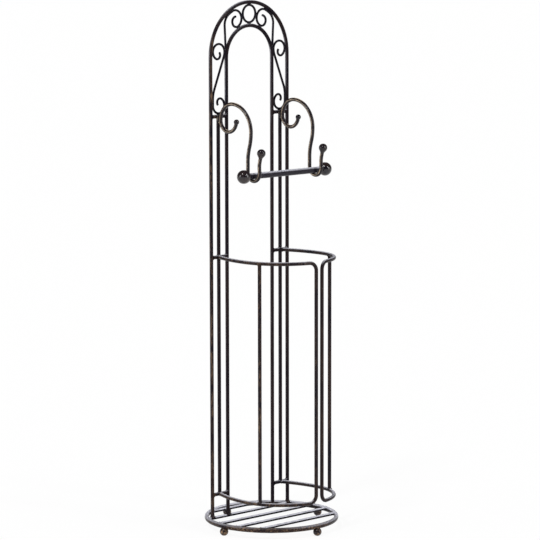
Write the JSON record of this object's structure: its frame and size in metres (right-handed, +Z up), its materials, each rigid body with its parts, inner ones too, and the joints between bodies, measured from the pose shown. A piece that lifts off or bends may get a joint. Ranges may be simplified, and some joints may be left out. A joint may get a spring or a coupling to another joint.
{
  "type": "toilet paper stand",
  "caption": "Free-standing wire toilet paper stand with a lift-off roller on hook arms, a tall open basket for spare rolls, scrolled arches and a slatted round base on ball feet.",
  "frame": {"origin": "middle of the circle that the four feet stand on, on the floor", "axes": "+Z up, -Y towards the open front of the basket, +X to the right as seen from the front"},
  "size_m": [0.181, 0.181, 0.6844],
  "materials": {
    "bronze": "semi-gloss dark bronze lacquer",
    "rubbed_bronze": "semi-gloss dark bronze lacquer, rubbed through to gold at the high spots"
  },
  "bodies": {
    "stand": {"base_ring": "bronze", "base_slat_1": "bronze", "base_slat_2": "bronze", "base_slat_3": "bronze", "base_slat_4": "bronze", "base_slat_5": "bronze", "foot_front": "rubbed_bronze", "foot_back": "rubbed_bronze", "foot_left": "rubbed_bronze", "foot_right": "rubbed_bronze", "outer_arch": "bronze", "inner_arch": "bronze", "top_ring": "bronze", "upper_scroll_left": "bronze", "upper_scroll_right": "bronze", "lower_scroll_left": "bronze", "lower_scroll_right": "bronze", "top_crossbar_left": "bronze", "top_crossbar_right": "bronze", "mid_rod_left": "bronze", "mid_rod_right": "bronze", "upper_tie_left": "bronze", "upper_tie_right": "bronze", "lower_tie_left": "bronze", "lower_tie_right": "bronze", "basket_wire_left": "bronze", "basket_wire_right": "bronze", "basket_rod_left": "bronze", "basket_rod_right": "bronze", "hook_arm_left": "rubbed_bronze", "hook_arm_right": "rubbed_bronze", "hook_tip_left": "rubbed_bronze", "hook_tip_right": "rubbed_bronze", "finial_left": "rubbed_bronze", "finial_right": "rubbed_bronze"},
    "roller": {"roller_bar": "bronze", "roller_ball_left": "rubbed_bronze", "roller_ball_right": "rubbed_bronze"}
  },
  "joints": [
    {"name": "roller_lift", "type": "slide", "parent": "stand", "child": "roller", "axis": [0, -0.0748, 0.9972], "range_m": [0, 0.1]}
  ]
}
